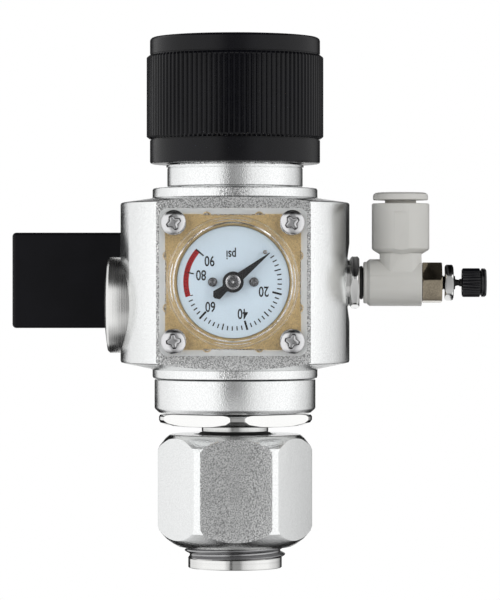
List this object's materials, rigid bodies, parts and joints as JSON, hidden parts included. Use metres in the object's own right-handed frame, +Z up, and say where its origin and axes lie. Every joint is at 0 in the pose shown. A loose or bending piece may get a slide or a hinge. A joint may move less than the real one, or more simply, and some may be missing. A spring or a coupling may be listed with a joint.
{
  "type": "carbon dioxide regulator",
  "caption": "Upright gas regulator with a ribbed knob, square pressure gauge, union nut, swivel push-in elbow with needle valve, and a side solenoid.",
  "frame": {"origin": "centre of the lower end of the cylinder valve's shank, on the main axis", "axes": "+Z up the main axis to the knob, -Y out of the gauge face, +X along the outlet elbow to the needle valve"},
  "size_m": [0.1006, 0.0676, 0.1105],
  "materials": {
    "satin_nickel": "bead-blasted nickel plate on brass",
    "polished_nickel": "polished nickel plate",
    "steel": "machined steel",
    "brass": "machined brass",
    "dark_brass": "blackened brass",
    "black_plastic": "moulded black plastic, satin",
    "rubber": "black nitrile rubber",
    "white_plastic": "moulded off-white plastic",
    "clear_plastic": "clear moulded plastic",
    "dial_face": "printed pale blue dial"
  },
  "bodies": {
    "regulator": {"cylinder_adapter": "steel", "inlet_washer": "white_plastic", "inlet_stem": "polished_nickel", "nipple_sleeve": "rubber", "sintered_filter": "brass", "inlet_collar": "satin_nickel", "body_block": "satin_nickel", "inlet_seal_ring": "rubber", "valve_seat": "white_plastic", "poppet_spring": "steel", "bonnet": "satin_nickel", "thrust_washer": "brass", "main_spring": "steel", "gauge_base": "brass", "gauge_cover": "clear_plastic", "cover_screw_1": "steel", "cover_screw_2": "steel", "cover_screw_3": "steel", "cover_screw_4": "steel", "gauge_dial": "dial_face", "dial_screw_1": "brass", "dial_screw_2": "brass", "stop_pin": "steel", "bourdon_tube": "brass", "gauge_socket": "brass", "movement_frame": "brass", "port_plug": "satin_nickel", "outlet_adapter": "polished_nickel", "outlet_ring": "rubber", "swivel_ring": "rubber", "solenoid_block": "satin_nickel", "solenoid_tube": "steel", "plunger_spring": "steel", "coil_housing": "black_plastic", "coil_screw": "steel", "cable_gland": "rubber"},
    "knob": {"adjustment_knob": "black_plastic", "knob_cap": "black_plastic", "knob_screw": "steel", "adjusting_screw": "steel", "screw_clip": "steel"},
    "button": {"spring_button": "brass"},
    "piston_body": {"piston": "brass", "piston_ring": "rubber"},
    "poppet_body": {"poppet": "brass"},
    "sector": {"sector_gear": "brass"},
    "pointer_body": {"pointer": "black_plastic", "pointer_arbor": "steel"},
    "elbow": {"elbow_body": "white_plastic", "socket_bush": "brass", "tube_gripper": "steel", "tube_seal": "rubber", "valve_core": "dark_brass"},
    "collar": {"release_collar": "white_plastic"},
    "needle": {"needle_stem": "steel"},
    "needle_grip": {"needle_knob": "black_plastic"},
    "lock": {"needle_locknut": "polished_nickel"},
    "nut_slide": {"nipple_ring": "rubber"},
    "nut": {"inlet_nut": "satin_nickel"},
    "plunger": {"solenoid_plunger": "steel"}
  },
  "joints": [
    {"name": "knob_turn", "type": "hinge", "parent": "regulator", "child": "knob", "pos_m": [0, 0, 0.0973], "axis": [0, 0, 1], "range_deg": [-1080, 0]},
    {"name": "button_travel", "type": "slide", "parent": "regulator", "child": "button", "axis": [0, 0, -1], "range_m": [0, 0.0045], "deforming": ["main_spring"]},
    {"name": "piston_travel", "type": "slide", "parent": "regulator", "child": "piston_body", "axis": [0, 0, -1], "range_m": [0, 0.0006], "stiffness_N_per_m": 4000},
    {"name": "poppet_travel", "type": "slide", "parent": "regulator", "child": "poppet_body", "axis": [0, 0, -1], "range_m": [0, 0.0006], "deforming": ["poppet_spring"]},
    {"name": "sector_turn", "type": "hinge", "parent": "regulator", "child": "sector", "pos_m": [0, -0.01575, 0.0515], "axis": [0, -1, 0], "range_deg": [0, 37.14], "stiffness_Nm_per_rad": 0.002},
    {"name": "pointer_turn", "type": "hinge", "parent": "regulator", "child": "pointer_body", "pos_m": [0, -0.0175, 0.0595], "axis": [0, 1, 0], "range_deg": [0, 260]},
    {"name": "elbow_swivel", "type": "hinge", "parent": "regulator", "child": "elbow", "pos_m": [0.0346, 0, 0.0594], "axis": [1, 0, 0], "continuous": true},
    {"name": "collar_press", "type": "slide", "parent": "elbow", "child": "collar", "axis": [0, 0, -1], "range_m": [0, 0.0006], "stiffness_N_per_m": 800},
    {"name": "needle_travel", "type": "slide", "parent": "elbow", "child": "needle", "axis": [1, 0, 0], "range_m": [-0.001, 0.002]},
    {"name": "needle_turn", "type": "hinge", "parent": "needle", "child": "needle_grip", "pos_m": [0.0498, 0, 0.0594], "axis": [1, 0, 0], "range_deg": [-720, 1440]},
    {"name": "locknut_turn", "type": "hinge", "parent": "elbow", "child": "lock", "pos_m": [0.0446, 0, 0.0594], "axis": [1, 0, 0], "range_deg": [0, 180]},
    {"name": "nut_travel", "type": "slide", "parent": "regulator", "child": "nut_slide", "axis": [0, 0, 1], "range_m": [0, 0.00136]},
    {"name": "nut_turn", "type": "hinge", "parent": "nut_slide", "child": "nut", "pos_m": [0, 0, 0.016], "axis": [0, 0, 1], "range_deg": [0, 270]},
    {"name": "plunger_travel", "type": "slide", "parent": "regulator", "child": "plunger", "axis": [-1, 0, 0], "range_m": [0, 0.001], "stiffness_N_per_m": 300, "deforming": ["plunger_spring"]}
  ],
  "couplings": [
    {"joint": "button_travel", "follows": "knob_turn", "m_per_rad": -0.00023873},
    {"joint": "poppet_travel", "follows": "piston_travel", "ratio": 1},
    {"joint": "pointer_turn", "follows": "sector_turn", "ratio": 7},
    {"joint": "needle_turn", "follows": "needle_travel", "rad_per_m": 12566},
    {"joint": "nut_turn", "follows": "nut_travel", "rad_per_m": 3463.7}
  ]
}
